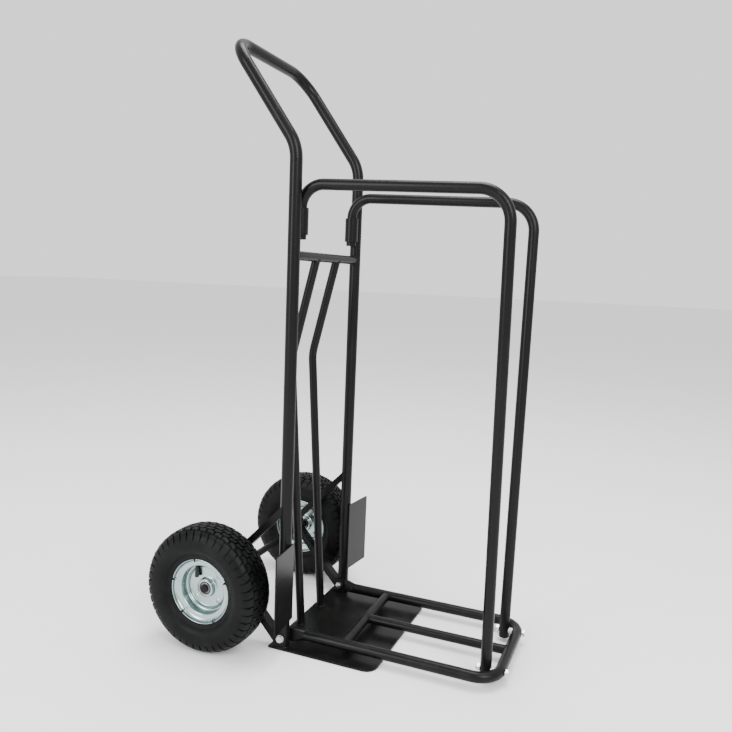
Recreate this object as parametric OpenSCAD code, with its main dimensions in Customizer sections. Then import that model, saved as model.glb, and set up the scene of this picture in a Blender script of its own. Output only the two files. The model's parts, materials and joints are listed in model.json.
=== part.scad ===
// Two-wheeled hand truck: bent tube frame with a raked handle, a flat toe plate,
// a tubular deck carried by two plug-in hoops, and pneumatic wheels on one axle.
// Millimetres. X runs across the truck, -Y is the load side, +Z is up.
// The origin is under the toe plate, midway between the two uprights.

/* [Frame] */
// Outside diameter of the bent frame tube
frame_od = 25; // [22:1:32]
// Wall of the frame tube
frame_wall = 2; // [1.5:0.1:3]
// Distance between the axes of the two uprights
frame_width = 303; // [250:1:380]
// Height at which the frame tube bends back into the handle
bend_height = 1012; // [900:1:1220]
// Rake of the handle from the vertical, degrees
handle_rake = 35.5; // [20:0.5:45]
// Slope length from the bend to the axis of the handle bar
handle_length = 255; // [200:1:310]
// Centre line radius of the bends at the foot of the handle
rake_radius = 80; // [60:1:110]
// Centre line radius of the two top corners of the handle
handle_radius = 60; // [40:1:80]
// Outside diameter of the cross bar
bar_od = 19; // [17:0.5:24]
// Height of the cross bar axis
bar_height = 804.5; // [660:0.5:960]
// Outside diameter of the two back rails
rail_od = 18; // [15:0.5:22]
// Distance between the axes of the back rails
rail_spacing = 99; // [70:1:160]
// How far the back rails bow out behind the frame
rail_bow = 52; // [20:1:80]
// Height of the bend in the back rails
rail_bend_height = 592; // [400:1:640]
// Distance of the foot of a back rail behind the frame plane
rail_foot = 11; // [6:1:16]
// Wall of the cross bar and the back rails
light_wall = 1.5; // [1:0.1:2.5]

/* [Toe plate] */
// How far the toe plate runs past the outside of each upright
toe_margin = 2; // [0:0.5:20]
// Depth of the toe plate in front of the frame plane
toe_front = 207; // [150:1:260]
// Depth of the toe plate behind the frame plane
toe_rear = 27; // [24:1:45]
// Thickness of the toe plate
toe_thick = 4; // [3:0.5:8]
// Radius of the two front corners
toe_corner = 25; // [5:1:60]

/* [Wheel guards] */
// Width of one guard plate
guard_width = 88; // [60:1:100]
// Height of one guard plate
guard_height = 160; // [100:1:220]
// Height of the lower edge of a guard
guard_base = 63; // [40:1:100]
// Thickness of a guard plate
guard_thick = 3; // [2:0.5:4]
// How far a guard reaches inside the axis of its upright
guard_inset = 8; // [2:0.5:10]
// Forward toe-out of a guard, degrees
guard_turn = 5.7; // [0:0.1:12]

/* [Deck] */
// Outside diameter of the deck frame tube
deck_od = 22; // [20:1:25]
// Height of the deck tube axes
deck_height = 24.4; // [20:0.2:40]
// Distance from the frame plane to the axis of the front tube
deck_length = 439; // [330:1:520]
// Centre line radius of the two front corners
deck_radius = 48; // [35:1:70]
// Distance from the frame plane to the cross tube
deck_cross = 125; // [90:1:180]
// Outside diameter of the deck cross tube
deck_cross_od = 20; // [16:0.5:20]
// Outside diameter of the deck middle tube
deck_middle_od = 19; // [14:0.5:19]
// Thickness of the flattened tube ends at the uprights
tongue_thick = 8; // [5:0.5:10]
// Height of the flattened tube ends
tongue_height = 28; // [24:1:32]
// Distance over which a tube end is flattened
tongue_run = 26; // [20:1:40]

/* [Hoops] */
// Outside diameter of the hoop tube
hoop_od = 22; // [18:1:24]
// Height of the top rail of a hoop
hoop_height = 943.5; // [860:0.5:1000]
// How much lower a top rail is at its front than at its rear
hoop_dip = 12; // [0:1:16]
// Centre line radius of the rear bend, which sits on the socket
hoop_rear_radius = 45; // [35:1:60]
// Centre line radius of the front bend
hoop_front_radius = 60; // [40:1:80]
// Gap between the front of a hoop leg and the back of the deck front tube
hoop_gap = 6; // [3:0.5:12]
// Distance of a hoop leg from the middle plane at its deck bolt
hoop_foot_x = 88; // [60:1:110]
// Height of the lower end of a hoop leg
hoop_foot = 9; // [5:0.5:12]
// How far the hoop tail shows below its socket
hoop_tail = 9; // [5:1:30]
// Outside diameter of a hoop socket
socket_od = 29; // [27:0.5:32]
// Length of a hoop socket
socket_length = 52; // [35:1:80]
// Radial clearance of a hoop tail in its socket
socket_play = 0.3; // [0.2:0.05:0.6]

/* [Axle] */
// Distance of the axle behind the frame plane
axle_back = 140; // [120:1:180]
// Diameter of the axle rod
axle_od = 16; // [12:1:20]
// Width of the brace bar, across the truck
brace_width = 22; // [14:1:24]
// Depth of the brace bar
brace_depth = 14; // [10:1:18]
// Wall of the brace bar
brace_wall = 2; // [1.5:0.5:3]
// Height at which the upper brace meets the upright
brace_top = 287; // [240:1:340]
// Height at which the lower brace meets the upright
brace_foot = 18; // [16:1:40]
// Distance of the brace elbow behind the frame plane
elbow_back = 138; // [110:1:150]
// Height of the brace elbow above the axle
elbow_rise = 27; // [25:1:40]
// Thickness of the axle lugs
lug_thick = 6; // [4:0.5:8]
// Outside radius of an axle lug round the axle
lug_radius = 16; // [13:0.5:20]

/* [Wheels] */
// Diameter of the tyres, which stand on the floor
tyre_od = 260; // [230:1:290]
// Width of the tyres
tyre_width = 85; // [75:1:95]
// Gap between the outside of an upright and the tyre
wheel_gap = 11.5; // [8:0.5:30]
// Radius of the rim flange
flange_radius = 67; // [64:0.5:70]
// Bead seat radius of the rim
seat_radius = 52; // [50:0.5:54]
// Half width of the bead seats, up to the flange wall
rim_half = 20; // [18:0.5:23]
// Radius of the outward curl of a rim flange
flange_curl = 10; // [8:0.5:12]
// Sheet thickness of the rim
rim_sheet = 2; // [1.5:0.1:2.5]
// Outside diameter of the ball bearings
bearing_od = 32; // [30:1:36]
// Width of the ball bearings
bearing_width = 9; // [8:0.5:10]
// Number of balls in one bearing
ball_count = 8; // [6:1:9]
// Running clearance, radial, inside the bearings
bearing_play = 0.05; // [0.02:0.01:0.1]
// Pitch radius of the rim rivets
rivet_pitch = 36; // [30:1:36]
// Number of rim rivets
rivet_count = 4; // [3:1:6]

/* [Fasteners] */
// Bolt diameter
bolt_d = 8; // [6:1:10]
// Across flats of bolt heads and nuts
bolt_flats = 13; // [10:1:17]
// Height of a bolt head
head_height = 5.3; // [4:0.1:7]
// Height of a nut
nut_height = 6.5; // [5:0.5:9]
// Outside diameter of a washer
washer_od = 16; // [14:1:20]
// Outside diameter of the spacers between hoop legs and deck
spacer_od = 12; // [10:0.5:16]
// Thickness of a washer
washer_thick = 1.6; // [1:0.1:2]
// Radial clearance of a bolt in its hole
bolt_play = 0.25; // [0.1:0.05:0.5]
// Length of thread showing past a nut
bolt_tip = 2.5; // [1:0.5:5]

/* [Hidden] */
$fn = 64;

FRAME_BLACK = [0.06, 0.06, 0.065];
RUBBER = [0.09, 0.09, 0.09];
ZINC = [0.75, 0.79, 0.79];
STEEL = [0.62, 0.63, 0.65];

LEFT = -1;
RIGHT = 1;
cut = 1;                                   // overshoot of a cutting solid
upright_x = frame_width / 2;
frame_radius = frame_od / 2;
toe_width = frame_width + frame_od + 2 * toe_margin;
wheel_x = upright_x + frame_radius + wheel_gap + tyre_width / 2;

// a tube draws down a little in its bends, and its straights lap over them
bend_draw = 0.04;
bend_lap = 0.4;

// handle
rake_back = handle_length * sin(handle_rake);
rake_up = handle_length * cos(handle_rake);

// deck and hoops
deck_x = upright_x - frame_radius - deck_od / 2;
deck_front = -deck_length;
tongue_inner = upright_x - frame_radius - tongue_thick;
hoop_x = upright_x - frame_radius - socket_od / 2;
hoop_leg_y = deck_front + deck_od / 2 + hoop_gap + hoop_od / 2;
hoop_front = hoop_height - hoop_dip;
hoop_fall = hoop_front - deck_height;
hoop_lean = (hoop_x - hoop_foot_x) / hoop_fall;
socket_top = hoop_height - hoop_rear_radius - cut;
socket_bottom = socket_top - socket_length;
tube_wall = light_wall;

// axle and wheels
axle_z = tyre_od / 2;
brace_x = upright_x;
elbow_z = axle_z + elbow_rise;
lug_face = brace_x + brace_width / 2;
bearing_seat = rim_sheet;                  // shoulder behind each bearing
bearing_out = bearing_seat + bearing_width;
hub_lip = 2;                               // hub cup stands proud of its bearing
inner_ring_wall = 2.6;
outer_ring_wall = 2.2;
inner_ring_r = axle_od / 2 + inner_ring_wall;
outer_ring_r = bearing_od / 2 - outer_ring_wall;
ball_r = (outer_ring_r - inner_ring_r) / 2 - bearing_play;
ball_track = (outer_ring_r + inner_ring_r) / 2;
seal_thick = 0.8;
seal_inset = 0.3;
clip_thick = 1.2;
clip_bite = 0.6;
clip_rise = 2;
axle_washer_thick = 1;
clip_x = wheel_x + bearing_out + axle_washer_thick;
axle_end = clip_x + clip_thick + 2.3;

// tyre section: radius of its widest point, and the cavity inside it
tyre_mid = flange_radius + 29;
tyre_half = tyre_width / 2;
tread_thick = 8;
side_wall = 5.5;
bead_toe = rim_half - 8;
lip_gap = 0.3;

// valve
valve_y = 22;
valve_u = rim_half - 12;
valve_r = 3.5;
cap_r = 4.5;
valve_length = 16;
cap_length = 13;
valve_root = sqrt(pow(seat_radius, 2) - pow(valve_y, 2));

rivet_r = 3;
rivet_head_r = 5.5;
rivet_head_h = 1.4;

// ---- vector helpers ----
function unit(v) = v / norm(v);
function basis(x, y, z, o) = [[x[0], y[0], z[0], o[0]], [x[1], y[1], z[1], o[1]],
    [x[2], y[2], z[2], o[2]], [0, 0, 0, 1]];
function turn(a, b, c) = acos(unit(b - a) * unit(c - b));
function setback(pts, radii, i) = i == 0 || i == len(pts) - 1 ? 0
    : radii[i] * tan(turn(pts[i - 1], pts[i], pts[i + 1]) / 2);

// straight round bar between two points
module rod(a, b, d) {
    z = unit(b - a);
    side = abs(z[2]) < 0.9 ? [0, 0, 1] : [0, 1, 0];
    x = unit(cross(side, z));
    multmatrix(basis(x, cross(z, x), z, a)) cylinder(d = d, h = norm(b - a));
}

// one bend of radius r at corner b
module elbow(a, b, c, r, d) {
    d1 = unit(b - a);
    d2 = unit(c - b);
    t = turn(a, b, c);
    start = b - d1 * r * tan(t / 2);
    centre = b + unit(d2 - d1) * r / cos(t / 2);
    x = unit(start - centre);
    multmatrix(basis(x, d1, cross(x, d1), centre))
        rotate_extrude(angle = t) translate([r, 0]) circle(d = d - bend_draw);
}

// round bar along a bent path; radii holds the bend radius at every point
module bent_rod(pts, radii, d) {
    for (i = [0 : len(pts) - 2]) {
        u = unit(pts[i + 1] - pts[i]);
        lap = [i == 0 ? 0 : bend_lap, i == len(pts) - 2 ? 0 : bend_lap];
        rod(pts[i] + u * (setback(pts, radii, i) - lap[0]),
            pts[i + 1] - u * (setback(pts, radii, i + 1) - lap[1]), d);
    }
    for (i = [1 : len(pts) - 2])
        elbow(pts[i - 1], pts[i], pts[i + 1], radii[i], d);
}

// the same path with its ends lengthened, for boring a tube
function stretched(pts) = let (n = len(pts) - 1)
    [for (i = [0 : n]) i == 0 ? pts[0] - unit(pts[1] - pts[0]) * cut
        : i == n ? pts[n] + unit(pts[n] - pts[n - 1]) * cut : pts[i]];

module bent_tube(pts, radii, d, wall) {
    difference() {
        bent_rod(pts, radii, d);
        bent_rod(stretched(pts), radii, d - 2 * wall);
    }
}

// cylinder along X, centred on the middle plane or running from x0 outwards
module along_x(x0, x1, d, y, z) {
    translate([x0, y, z]) rotate([0, 90, 0]) cylinder(d = d, h = x1 - x0);
}

module sides() {
    for (s = [LEFT, RIGHT]) scale_x(s) children();
}

module scale_x(s) {
    if (s == LEFT) mirror([1, 0, 0]) children();
    else children();
}

// ---- frame ----
frame_path = [[-upright_x, 0, toe_thick], [-upright_x, 0, bend_height],
    [-upright_x, rake_back, bend_height + rake_up], [upright_x, rake_back, bend_height + rake_up],
    [upright_x, 0, bend_height], [upright_x, 0, toe_thick]];
frame_radii = [0, rake_radius, handle_radius, handle_radius, rake_radius, 0];

module main_frame() {
    color(FRAME_BLACK) difference() {
        bent_tube(frame_path, frame_radii, frame_od, frame_wall);
        for (s = [LEFT, RIGHT])
            translate([s * upright_x, 0, deck_height]) rotate([0, 90, 0])
                cylinder(d = bolt_d + 2 * bolt_play, h = frame_od + 2 * cut, center = true);
    }
}

module uprights_solid() {
    for (s = [LEFT, RIGHT])
        translate([s * upright_x, 0, 0]) cylinder(d = frame_od, h = bend_height);
}

module cross_bar() {
    color(FRAME_BLACK) difference() {
        along_x(-upright_x, upright_x, bar_od, 0, bar_height);
        along_x(-upright_x - cut, upright_x + cut, bar_od - 2 * light_wall, 0, bar_height);
        uprights_solid();
    }
}

module back_rail(s) {
    x = s * rail_spacing / 2;
    below = toe_thick - rail_od;
    foot_y = rail_foot - (rail_bow - rail_foot) * rail_od / (rail_bend_height - toe_thick);
    path = [[x, 0, bar_height], [x, rail_bow, rail_bend_height], [x, foot_y, below]];
    color(FRAME_BLACK) difference() {
        bent_tube(path, [0, rail_spacing, 0], rail_od, light_wall);
        along_x(-upright_x, upright_x, bar_od, 0, bar_height);
        translate([x - rail_od, -rail_od, toe_thick - 3 * rail_od])
            cube([2 * rail_od, 4 * rail_od, 3 * rail_od]);
    }
}

module toe_plate() {
    half = toe_width / 2;
    color(FRAME_BLACK) linear_extrude(toe_thick) union() {
        translate([-half, -toe_front + toe_corner])
            square([toe_width, toe_front + toe_rear - toe_corner]);
        translate([-half + toe_corner, -toe_front])
            square([toe_width - 2 * toe_corner, toe_front]);
        for (s = [LEFT, RIGHT])
            translate([s * (half - toe_corner), -toe_front + toe_corner]) circle(r = toe_corner);
    }
}

module wheel_guard(s) {
    color(FRAME_BLACK) scale_x(s) translate([upright_x, 0, guard_base])
        rotate([0, 0, -guard_turn])
            translate([-guard_inset, -frame_radius - guard_thick, 0])
                cube([guard_width, guard_thick, guard_height]);
}

module hoop_socket(s) {
    color(FRAME_BLACK) translate([s * hoop_x, 0, socket_bottom]) difference() {
        cylinder(d = socket_od, h = socket_length);
        translate([0, 0, -cut]) cylinder(d = hoop_od + 2 * socket_play, h = socket_length + 2 * cut);
    }
}

// ---- axle carrier ----
// outline of the mitred brace bar, inset by the given wall
module brace_outline(inset) {
    half = brace_depth / 2 - inset;
    top = [0, brace_top + (brace_top - elbow_z) * frame_radius / elbow_back];
    mid = [elbow_back, elbow_z];
    foot = [0, brace_foot - (elbow_z - brace_foot) * frame_radius / elbow_back];
    down = unit(mid - top);
    away = unit(foot - mid);
    down_side = [-down[1], down[0]] * half;
    away_side = [-away[1], away[0]] * half;
    mitre = unit(down_side + away_side) * half / cos(acos(down * away) / 2);
    polygon([top + down_side, mid + mitre, foot + away_side,
        foot - away_side, mid - mitre, top - down_side]);
}

module axle_brace(s) {
    color(FRAME_BLACK) difference() {
        translate([s * brace_x - brace_width / 2, 0, 0]) rotate([90, 0, 90])
            linear_extrude(brace_width) brace_outline(0);
        translate([s * brace_x - brace_width / 2 + brace_wall, 0, 0]) rotate([90, 0, 90])
            linear_extrude(brace_width - 2 * brace_wall) brace_outline(brace_wall);
        uprights_solid();
        translate([s * brace_x - brace_width, -frame_od, toe_thick - frame_od])
            cube([2 * brace_width, frame_od, brace_top + 4 * frame_od]);
        translate([s * brace_x - brace_width, -frame_od, toe_thick - 3 * frame_od])
            cube([2 * brace_width, 4 * frame_od, 3 * frame_od]);
    }
}

module axle_lug(s) {
    color(FRAME_BLACK) scale_x(s) translate([lug_face, axle_back, axle_z]) difference() {
        rotate([90, 0, 90]) linear_extrude(lug_thick) union() {
            circle(r = lug_radius);
            translate([elbow_back - axle_back, elbow_rise]) circle(r = lug_radius);
            translate([(elbow_back - axle_back) / 2 - lug_radius + cut, 0])
                square([2 * (lug_radius - cut), elbow_rise]);
        }
        translate([-cut, 0, 0]) rotate([0, 90, 0]) cylinder(d = axle_od, h = lug_thick + 2 * cut);
    }
}

module axle() {
    color(STEEL) difference() {
        along_x(-axle_end, axle_end, axle_od, axle_back, axle_z);
        sides() difference() {
            along_x(clip_x, clip_x + clip_thick, axle_od + 2 * cut, axle_back, axle_z);
            along_x(clip_x - cut, clip_x + clip_thick + cut, axle_od - 2 * clip_bite,
                axle_back, axle_z);
        }
    }
}

// ring on the axle line between two distances from the middle plane, both sides
module axle_rings(x0, x1, d_in, d_out) {
    sides() difference() {
        along_x(x0, x1, d_out, axle_back, axle_z);
        along_x(x0 - cut, x1 + cut, d_in, axle_back, axle_z);
    }
}

module axle_sleeves() {
    color(ZINC) axle_rings(lug_face + lug_thick, wheel_x - bearing_out, axle_od,
        axle_od + 1.6 * inner_ring_wall);
}

module bearing_spacers() {
    color(ZINC) axle_rings(wheel_x - bearing_seat, wheel_x + bearing_seat, axle_od,
        axle_od + 1.6 * inner_ring_wall);
}

module bearing_inner_rings() {
    color(STEEL) {
        axle_rings(wheel_x - bearing_out, wheel_x - bearing_seat, axle_od, 2 * inner_ring_r);
        axle_rings(wheel_x + bearing_seat, wheel_x + bearing_out, axle_od, 2 * inner_ring_r);
    }
}

module axle_washers() {
    color(STEEL) axle_rings(wheel_x + bearing_out, clip_x, axle_od,
        axle_od + 1.6 * inner_ring_wall);
}

module axle_clips() {
    color(STEEL) axle_rings(clip_x, clip_x + clip_thick, axle_od - 2 * clip_bite,
        axle_od + 2 * clip_rise);
}

// ---- deck ----
deck_path = [[-deck_x, -tongue_run - frame_radius, deck_height], [-deck_x, deck_front, deck_height],
    [deck_x, deck_front, deck_height], [deck_x, -tongue_run - frame_radius, deck_height]];

module tongue(s) {
    flat_start = -frame_radius - 2;
    scale_x(s) {
        hull() {
            translate([deck_x, -tongue_run - frame_radius + 0.01, deck_height]) rotate([90, 0, 0])
                cylinder(d = deck_od, h = cut, $fn = 32);
            translate([tongue_inner, flat_start, deck_height - tongue_height / 2])
                cube([tongue_thick, cut, tongue_height]);
        }
        translate([tongue_inner, flat_start, deck_height - tongue_height / 2])
            cube([tongue_thick, -flat_start, tongue_height]);
        along_x(tongue_inner, tongue_inner + tongue_thick, tongue_height, 0, deck_height);
    }
}

module deck_frame() {
    color(FRAME_BLACK) difference() {
        union() {
            bent_tube(deck_path, [0, deck_radius, deck_radius, 0], deck_od, tube_wall);
            tongue(LEFT);
            tongue(RIGHT);
        }
        along_x(-upright_x, upright_x, bolt_d + 2 * bolt_play, 0, deck_height);
        for (s = [LEFT, RIGHT])
            translate([s * hoop_foot_x, deck_front, deck_height]) rotate([90, 0, 0])
                cylinder(d = bolt_d + 2 * bolt_play, h = 2 * deck_od, center = true);
    }
}

module deck_cross_tube() {
    color(FRAME_BLACK) difference() {
        along_x(-deck_x, deck_x, deck_cross_od, -deck_cross, deck_height);
        along_x(-deck_x - cut, deck_x + cut, deck_cross_od - 2 * tube_wall, -deck_cross,
            deck_height);
        for (s = [LEFT, RIGHT])
            translate([s * deck_x, 0, deck_height]) rotate([90, 0, 0])
                cylinder(d = deck_od, h = deck_length);
    }
}

module deck_middle_tube() {
    color(FRAME_BLACK) difference() {
        rod([0, -deck_cross, deck_height], [0, deck_front, deck_height], deck_middle_od);
        rod([0, -deck_cross + cut, deck_height], [0, deck_front - cut, deck_height],
            deck_middle_od - 2 * tube_wall);
        along_x(-deck_x, deck_x, deck_cross_od, -deck_cross, deck_height);
        along_x(-deck_x, deck_x, deck_od, deck_front, deck_height);
    }
}

// ---- hoops ----
function hoop_path(s) = [[s * hoop_x, 0, socket_bottom - hoop_tail],
    [s * hoop_x, 0, hoop_height], [s * hoop_x, hoop_leg_y, hoop_front],
    [s * (hoop_x - hoop_lean * (hoop_front - hoop_foot)), hoop_leg_y, hoop_foot]];

module side_hoop(s) {
    path = hoop_path(s);
    color(FRAME_BLACK) difference() {
        bent_tube(path, [0, hoop_rear_radius, hoop_front_radius, 0], hoop_od, tube_wall);
        translate([s * hoop_foot_x, hoop_leg_y, deck_height]) rotate([90, 0, 0])
            cylinder(d = bolt_d + 2 * bolt_play, h = hoop_od + 2 * cut, center = true);
    }
}

// ---- fasteners ----
// bolt with its head seat at the origin and its shank along +Z
module hex_bolt(length) {
    translate([0, 0, -head_height]) cylinder(d = bolt_flats / cos(30), h = head_height, $fn = 6);
    cylinder(d = bolt_d, h = length);
}

module hex_nut() {
    difference() {
        cylinder(d = bolt_flats / cos(30), h = nut_height, $fn = 6);
        translate([0, 0, -cut]) cylinder(d = bolt_d, h = nut_height + 2 * cut);
    }
}

module washer(thick) {
    difference() {
        cylinder(d = washer_od, h = thick);
        translate([0, 0, -cut]) cylinder(d = bolt_d, h = thick + 2 * cut);
    }
}

// places children at each hoop bolt, y given, pointing +Y
module at_hoop_feet(y) {
    for (s = [LEFT, RIGHT])
        translate([s * hoop_foot_x, y, deck_height]) rotate([-90, 0, 0]) children();
}

hoop_bolt_seat = deck_front - deck_od / 2;
hoop_nut_seat = hoop_leg_y + hoop_od / 2;

module hoop_bolts() {
    color(ZINC) at_hoop_feet(hoop_bolt_seat)
        hex_bolt(hoop_nut_seat - hoop_bolt_seat + nut_height + bolt_tip);
}

// sleeves with saddle ends that fit the deck tube and the hoop legs
module hoop_spacers() {
    reach = hoop_leg_y - deck_front;
    color(ZINC) difference() {
        at_hoop_feet(deck_front) difference() {
            cylinder(d = spacer_od, h = reach);
            translate([0, 0, -cut]) cylinder(d = bolt_d, h = reach + 2 * cut);
        }
        bent_rod(deck_path, [0, deck_radius, deck_radius, 0], deck_od);
        for (s = [LEFT, RIGHT]) {
            path = hoop_path(s);
            rod(path[2], path[3], hoop_od);
        }
    }
}

module hoop_nuts() {
    color(ZINC) at_hoop_feet(hoop_nut_seat) hex_nut();
}

// places children at each upright, x given, pointing towards the middle plane
module at_deck_pivots(x) {
    sides() translate([x, 0, deck_height]) rotate([0, -90, 0]) children();
}

deck_bolt_seat = upright_x + frame_radius + washer_thick;

module deck_bolts() {
    color(ZINC) at_deck_pivots(deck_bolt_seat)
        hex_bolt(deck_bolt_seat - tongue_inner + nut_height + bolt_tip);
}

module deck_washers() {
    color(ZINC) at_deck_pivots(deck_bolt_seat) washer(washer_thick);
}

module deck_nuts() {
    color(ZINC) at_deck_pivots(tongue_inner) hex_nut();
}

// ---- wheels: drawn round the origin, axis X, outboard towards +X ----
module at_wheel(s) {
    scale_x(s) translate([wheel_x, axle_back, axle_z]) children();
}

// turns a section drawn as [radius, outboard distance] round the axle line
module revolve() {
    rotate([0, 90, 0]) rotate_extrude($fn = 96) children();
}

// point of a rounded-box curve: angle a, centre radius c, half width w, half height h
function swell(a, c, w, h, n) = let (co = cos(a), si = sin(a))
    [c + h * sign(si) * pow(abs(si), 2 / n), w * sign(co) * pow(abs(co), 2 / n)];

square_crown = 3;
square_side = 2.4;

// flange curl, from its wall out to its lip; r is the radius of the curl's surface
function curl(r) = [for (a = [0 : 15 : 90])
    [flange_radius - flange_curl + r * sin(a), rim_half + flange_curl - r * cos(a)]];
function backwards(pts) = [for (i = [len(pts) - 1 : -1 : 0]) pts[i]];
function mirrored(pts) = [for (p = pts) [p[0], -p[1]]];

module tyre_section() {
    crown = tyre_od / 2 - tyre_mid;
    skirt = tyre_mid - flange_radius - lip_gap;
    cavity_crown = crown - tread_thick;
    outer_side = [for (a = [-42 : 7 : -7]) swell(a, tyre_mid, tyre_half, skirt, square_side)];
    outer_top = [for (a = [0 : 7.5 : 82.5]) swell(a, tyre_mid, tyre_half, crown, square_crown)];
    outside = concat([[seat_radius, bead_toe], [seat_radius, rim_half]], curl(flange_curl),
        [[flange_radius + lip_gap, rim_half + flange_curl + 1]], outer_side, outer_top);
    inside = concat([[flange_radius - lip_gap, bead_toe]],
        [for (a = [-60 : 10 : -10])
            swell(a, tyre_mid, tyre_half - side_wall, skirt, square_side)],
        [for (a = [0 : 10 : 80])
            swell(a, tyre_mid, tyre_half - side_wall, cavity_crown, square_crown)]);
    polygon(concat(outside, [[tyre_od / 2, 0]], backwards(mirrored(outside)),
        mirrored(inside), [[tyre_mid + cavity_crown, 0]], backwards(inside)));
}

module tyre(s) {
    color(RUBBER) at_wheel(s) revolve() tyre_section();
}

tube_mid = tyre_mid - 4;
tube_half = tyre_half - side_wall - 4;
tube_height = tyre_od / 2 - tread_thick - tube_mid - 5;

module tube_outline(inset) {
    polygon([for (a = [0 : 15 : 345])
        swell(a, tube_mid, tube_half - inset, tube_height - inset, 2)]);
}

module inner_tube(s) {
    color(RUBBER) at_wheel(s) revolve() difference() {
        tube_outline(0);
        tube_outline(rim_sheet);
    }
}

// one pressed half of the rim, outboard of the wheel's middle plane
module rim_section() {
    inner = seat_radius - rim_sheet;
    wall_u = rim_half + rim_sheet;
    cup = bearing_od / 2;
    cup_out = cup + rim_sheet + 0.5;
    web_edge = inner - 8;
    polygon(concat([[cup - outer_ring_wall, 0], [seat_radius, 0], [seat_radius, rim_half]],
        curl(flange_curl), backwards(curl(flange_curl - rim_sheet)),
        [[inner + 2, wall_u], [inner + 0.6, wall_u - 0.6], [inner, wall_u - 2],
        [inner, rim_sheet + 6], [inner - 0.8, rim_sheet + 3.4], [inner - 2.6, rim_sheet + 1.4],
        [inner - 5, rim_sheet + 0.4], [web_edge, rim_sheet],
        [cup_out + 4, rim_sheet], [cup_out + 1.2, rim_sheet + 0.8], [cup_out, rim_sheet + 3],
        [cup_out, bearing_out + hub_lip - 0.8], [cup_out - 0.8, bearing_out + hub_lip],
        [cup, bearing_out + hub_lip], [cup, bearing_seat], [cup - outer_ring_wall, bearing_seat]]));
}

module rivet_places() {
    for (i = [0 : rivet_count - 1])
        rotate([45 + i * 360 / rivet_count, 0, 0]) translate([0, 0, rivet_pitch])
            rotate([0, 90, 0]) children();
}

module valve_cutter(r) {
    translate([valve_u, valve_y, valve_root - 2 * rim_sheet - r]) cylinder(r = r, h = seat_radius);
}

module rim_half_solid() {
    difference() {
        revolve() rim_section();
        rivet_places() translate([0, 0, -cut]) cylinder(r = rivet_r, h = 3 * rim_sheet);
    }
}

module rim_outer(s) {
    color(ZINC) at_wheel(s) difference() {
        rim_half_solid();
        valve_cutter(valve_r);
    }
}

module rim_inner(s) {
    color(ZINC) at_wheel(s) mirror([1, 0, 0]) rim_half_solid();
}

module rim_rivets(s) {
    color(ZINC) at_wheel(s) rivet_places() {
        translate([0, 0, -rim_sheet]) cylinder(r = rivet_r, h = 2 * rim_sheet);
        for (k = [0, 1]) mirror([0, 0, k]) translate([0, 0, rim_sheet])
            rotate_extrude() intersection() {
                translate([0, rivet_head_h - rivet_head_r * 1.6]) circle(r = rivet_head_r * 1.6);
                square([rivet_head_r, rivet_head_h]);
            }
    }
}

// both bearings of a wheel, children drawn for the outboard one
module both_bearings() {
    children();
    mirror([1, 0, 0]) children();
}

module ring_x(x0, x1, r_in, r_out) {
    difference() {
        along_x(x0, x1, 2 * r_out, 0, 0);
        along_x(x0 - cut, x1 + cut, 2 * r_in, 0, 0);
    }
}

module bearing_outer_rings(s) {
    color(STEEL) at_wheel(s) both_bearings()
        ring_x(bearing_seat, bearing_out, outer_ring_r, bearing_od / 2);
}

module bearing_balls(s) {
    color(STEEL) at_wheel(s) both_bearings()
        for (i = [0 : ball_count - 1])
            rotate([i * 360 / ball_count, 0, 0])
                translate([bearing_seat + bearing_width / 2, 0, ball_track])
                    sphere(r = ball_r, $fn = 24);
}

module bearing_seals(s) {
    color(RUBBER) at_wheel(s) both_bearings()
        for (x = [bearing_seat + seal_inset, bearing_out - seal_inset - seal_thick])
            ring_x(x, x + seal_thick, inner_ring_r + bearing_play, outer_ring_r);
}

// rubber stem from the inner tube through the rim, pointing down beside the hub
module valve_stem(s) {
    color(RUBBER) at_wheel(s) difference() {
        translate([valve_u, valve_y, valve_root - valve_length])
            cylinder(r = valve_r, h = valve_length + tube_mid - tube_height - seat_radius + 12);
        revolve() tube_outline(0);
    }
}

module valve_cap(s) {
    color(RUBBER) at_wheel(s)
        translate([valve_u, valve_y, valve_root - valve_length - cap_length])
            cylinder(r = cap_r, h = cap_length);
}

main_frame();
cross_bar();
back_rail(LEFT);  // back_rail_left
back_rail(RIGHT);  // back_rail_right
toe_plate();
wheel_guard(LEFT);  // wheel_guard_left
wheel_guard(RIGHT);  // wheel_guard_right
hoop_socket(LEFT);  // hoop_socket_left
hoop_socket(RIGHT);  // hoop_socket_right
axle_brace(LEFT);  // axle_brace_left
axle_brace(RIGHT);  // axle_brace_right
axle_lug(LEFT);  // axle_lug_left
axle_lug(RIGHT);  // axle_lug_right
axle();
axle_sleeves();
bearing_spacers();
bearing_inner_rings();
axle_washers();
axle_clips();
deck_frame();
deck_cross_tube();
deck_middle_tube();
side_hoop(LEFT);  // side_hoop_left
side_hoop(RIGHT);  // side_hoop_right
hoop_bolts();
hoop_spacers();
hoop_nuts();
deck_bolts();
deck_washers();
deck_nuts();
tyre(LEFT);  // tyre_left
inner_tube(LEFT);  // inner_tube_left
rim_outer(LEFT);  // rim_outer_left
rim_inner(LEFT);  // rim_inner_left
rim_rivets(LEFT);  // rim_rivets_left
bearing_outer_rings(LEFT);  // bearing_outer_rings_left
bearing_balls(LEFT);  // bearing_balls_left
bearing_seals(LEFT);  // bearing_seals_left
valve_stem(LEFT);  // valve_stem_left
valve_cap(LEFT);  // valve_cap_left
tyre(RIGHT);  // tyre_right
inner_tube(RIGHT);  // inner_tube_right
rim_outer(RIGHT);  // rim_outer_right
rim_inner(RIGHT);  // rim_inner_right
rim_rivets(RIGHT);  // rim_rivets_right
bearing_outer_rings(RIGHT);  // bearing_outer_rings_right
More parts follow.
